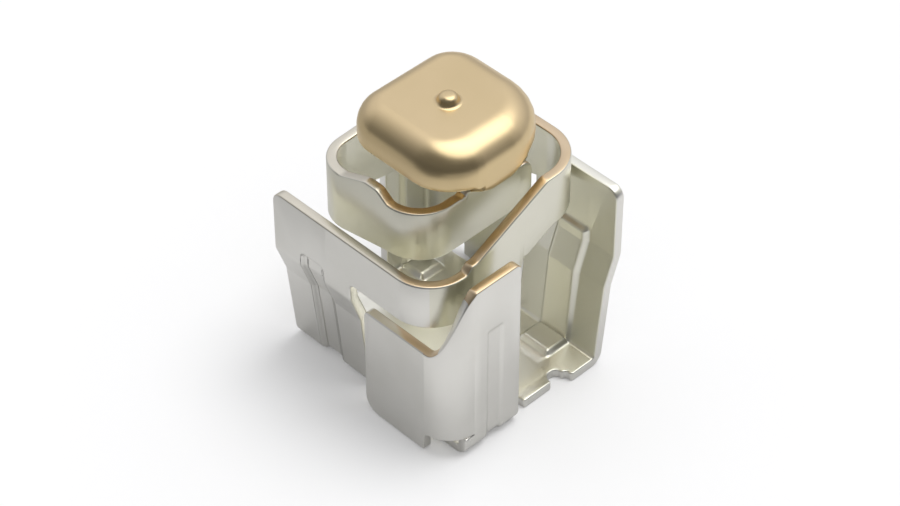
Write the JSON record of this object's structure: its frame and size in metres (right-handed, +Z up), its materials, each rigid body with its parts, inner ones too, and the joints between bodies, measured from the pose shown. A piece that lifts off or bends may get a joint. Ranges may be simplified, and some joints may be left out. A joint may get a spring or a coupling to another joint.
{
  "type": "surface-mount spring contact",
  "caption": "Folded sheet-metal spring contact with an open square housing, a rising rectangular coil and a domed contact head with a small bump.",
  "frame": {"origin": "middle of the solder base's underside, the centre of the part's footprint", "axes": "+Z up towards the contact head, +X and +Y across the square housing; the plain flanks face +X and -X, the joggled walls face -Y and +Y"},
  "size_m": [0.0034, 0.0032, 0.0047],
  "materials": {
    "plated_strip": "satin"
  },
  "bodies": {
    "root": {"spring_contact": "plated_strip"}
  },
  "joints": []
}
